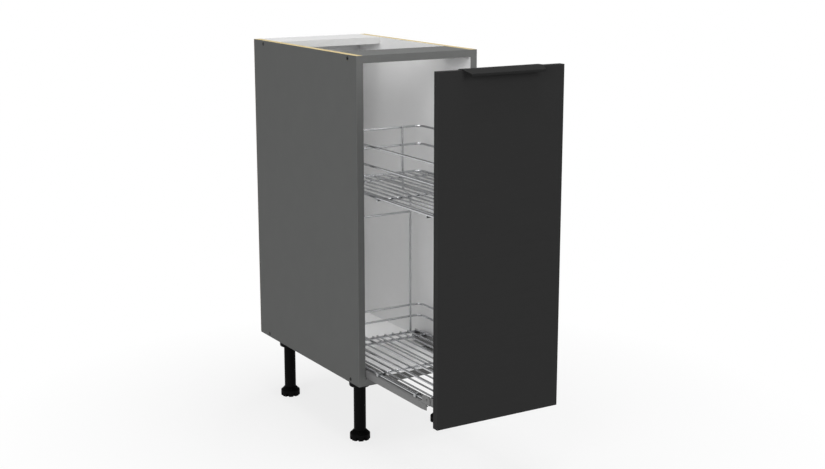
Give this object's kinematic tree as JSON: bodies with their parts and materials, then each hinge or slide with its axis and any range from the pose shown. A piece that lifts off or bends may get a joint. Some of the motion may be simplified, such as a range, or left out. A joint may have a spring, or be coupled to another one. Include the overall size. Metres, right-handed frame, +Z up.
{
  "type": "pull-out base cabinet",
  "caption": "Narrow kitchen base cabinet on levelling legs, with a handled front that pulls out a pair of chromed wire baskets on roller runners",
  "frame": {"origin": "on the floor, under the centre of the whole object's box with the front pulled out as at rest", "axes": "+X to the right seen from the front, +Y to the back, +Z up; the front faces -Y"},
  "size_m": [0.3, 0.8374, 0.87],
  "materials": {
    "grey_board": "matte melamine, grey outside and white inside",
    "white_board": "matte white melamine",
    "white_hardboard": "smooth white lacquered hardboard",
    "edge_band": "matte grey edging",
    "white_band": "matte white edging",
    "front_board": "matte charcoal laminate",
    "handle_coat": "matte black powder coat",
    "leg_plastic": "moulded black plastic of the legs and end stops",
    "chrome_wire": "bright plated",
    "runner_coat": "satin grey epoxy coat",
    "roller_plastic": "natural white nylon",
    "zinc_steel": "zinc plated",
    "dark_screw": "dark heads"
  },
  "bodies": {
    "cabinet": {"back_panel": "white_hardboard", "back_screws": "zinc_steel", "bottom_panel": "grey_board", "carcass_screws": "dark_screw", "edge_bands": "edge_band", "fixed_runner_left": "runner_coat", "fixed_runner_right": "runner_coat", "front_top_rail": "grey_board", "leg_screws": "zinc_steel", "leg_socket_front_left": "leg_plastic", "leg_socket_front_right": "leg_plastic", "leg_socket_rear_left": "leg_plastic", "leg_socket_rear_right": "leg_plastic", "leg_tube_front_left": "leg_plastic", "leg_tube_front_right": "leg_plastic", "leg_tube_rear_left": "leg_plastic", "leg_tube_rear_right": "leg_plastic", "rail_screws": "zinc_steel", "rear_rail_band": "white_band", "rear_top_rail": "white_board", "roller_pins": "zinc_steel", "side_panel_left": "grey_board", "side_panel_right": "grey_board"},
    "pullout": {"bracket_rivets": "zinc_steel", "clip_rivets": "zinc_steel", "end_stops": "leg_plastic", "front_panel": "front_board", "front_screws": "zinc_steel", "front_upright_left": "chrome_wire", "front_upright_right": "chrome_wire", "handle": "handle_coat", "handle_screws": "zinc_steel", "lower_bracket_left": "runner_coat", "lower_bracket_right": "runner_coat", "lower_cross_rods": "chrome_wire", "lower_floor_rods": "chrome_wire", "lower_frame": "chrome_wire", "lower_mid_rail": "chrome_wire", "lower_top_rail": "chrome_wire", "moving_runner_left": "runner_coat", "moving_runner_right": "runner_coat", "rear_crossbar": "chrome_wire", "rear_upright_left": "chrome_wire", "rear_upright_right": "chrome_wire", "saddle_clips": "zinc_steel", "upper_bracket_left": "runner_coat", "upper_bracket_right": "runner_coat", "upper_cross_rods": "chrome_wire", "upper_floor_rods": "chrome_wire", "upper_frame": "chrome_wire", "upper_mid_rail": "chrome_wire", "upper_top_rail": "chrome_wire"},
    "front_roller_left": {"front_roller_left": "roller_plastic"},
    "front_roller_right": {"front_roller_right": "roller_plastic"},
    "rear_roller_left": {"rear_roller_left": "roller_plastic"},
    "rear_roller_right": {"rear_roller_right": "roller_plastic"},
    "leg_foot_front_left": {"leg_foot_front_left": "leg_plastic"},
    "leg_foot_front_right": {"leg_foot_front_right": "leg_plastic"},
    "leg_foot_rear_left": {"leg_foot_rear_left": "leg_plastic"},
    "leg_foot_rear_right": {"leg_foot_rear_right": "leg_plastic"}
  },
  "joints": [
    {"name": "pullout_slide", "type": "slide", "parent": "cabinet", "child": "pullout", "axis": [0, -1, 0], "range_m": [-0.2973, 0.081]},
    {"name": "front_roller_spin_left", "type": "hinge", "parent": "cabinet", "child": "front_roller_left", "pos_m": [-0.115, -0.06535, 0.1762], "axis": [1, 0, 0], "continuous": true},
    {"name": "rear_roller_spin_left", "type": "hinge", "parent": "cabinet", "child": "rear_roller_left", "pos_m": [-0.115, 0.01745, 0.1762], "axis": [1, 0, 0], "continuous": true},
    {"name": "front_roller_spin_right", "type": "hinge", "parent": "cabinet", "child": "front_roller_right", "pos_m": [0.115, -0.06535, 0.1762], "axis": [1, 0, 0], "continuous": true},
    {"name": "rear_roller_spin_right", "type": "hinge", "parent": "cabinet", "child": "rear_roller_right", "pos_m": [0.115, 0.01745, 0.1762], "axis": [1, 0, 0], "continuous": true},
    {"name": "foot_height_front_left", "type": "slide", "parent": "cabinet", "child": "leg_foot_front_left", "axis": [0, 0, -1], "range_m": [0, 0.02]},
    {"name": "foot_height_front_right", "type": "slide", "parent": "cabinet", "child": "leg_foot_front_right", "axis": [0, 0, -1], "range_m": [0, 0.02]},
    {"name": "foot_height_rear_left", "type": "slide", "parent": "cabinet", "child": "leg_foot_rear_left", "axis": [0, 0, -1], "range_m": [0, 0.02]},
    {"name": "foot_height_rear_right", "type": "slide", "parent": "cabinet", "child": "leg_foot_rear_right", "axis": [0, 0, -1], "range_m": [0, 0.02]}
  ],
  "couplings": [
    {"joint": "front_roller_spin_left", "follows": "pullout_slide", "rad_per_m": 144.93},
    {"joint": "rear_roller_spin_left", "follows": "pullout_slide", "rad_per_m": -144.93},
    {"joint": "front_roller_spin_right", "follows": "pullout_slide", "rad_per_m": 144.93},
    {"joint": "rear_roller_spin_right", "follows": "pullout_slide", "rad_per_m": -144.93}
  ]
}
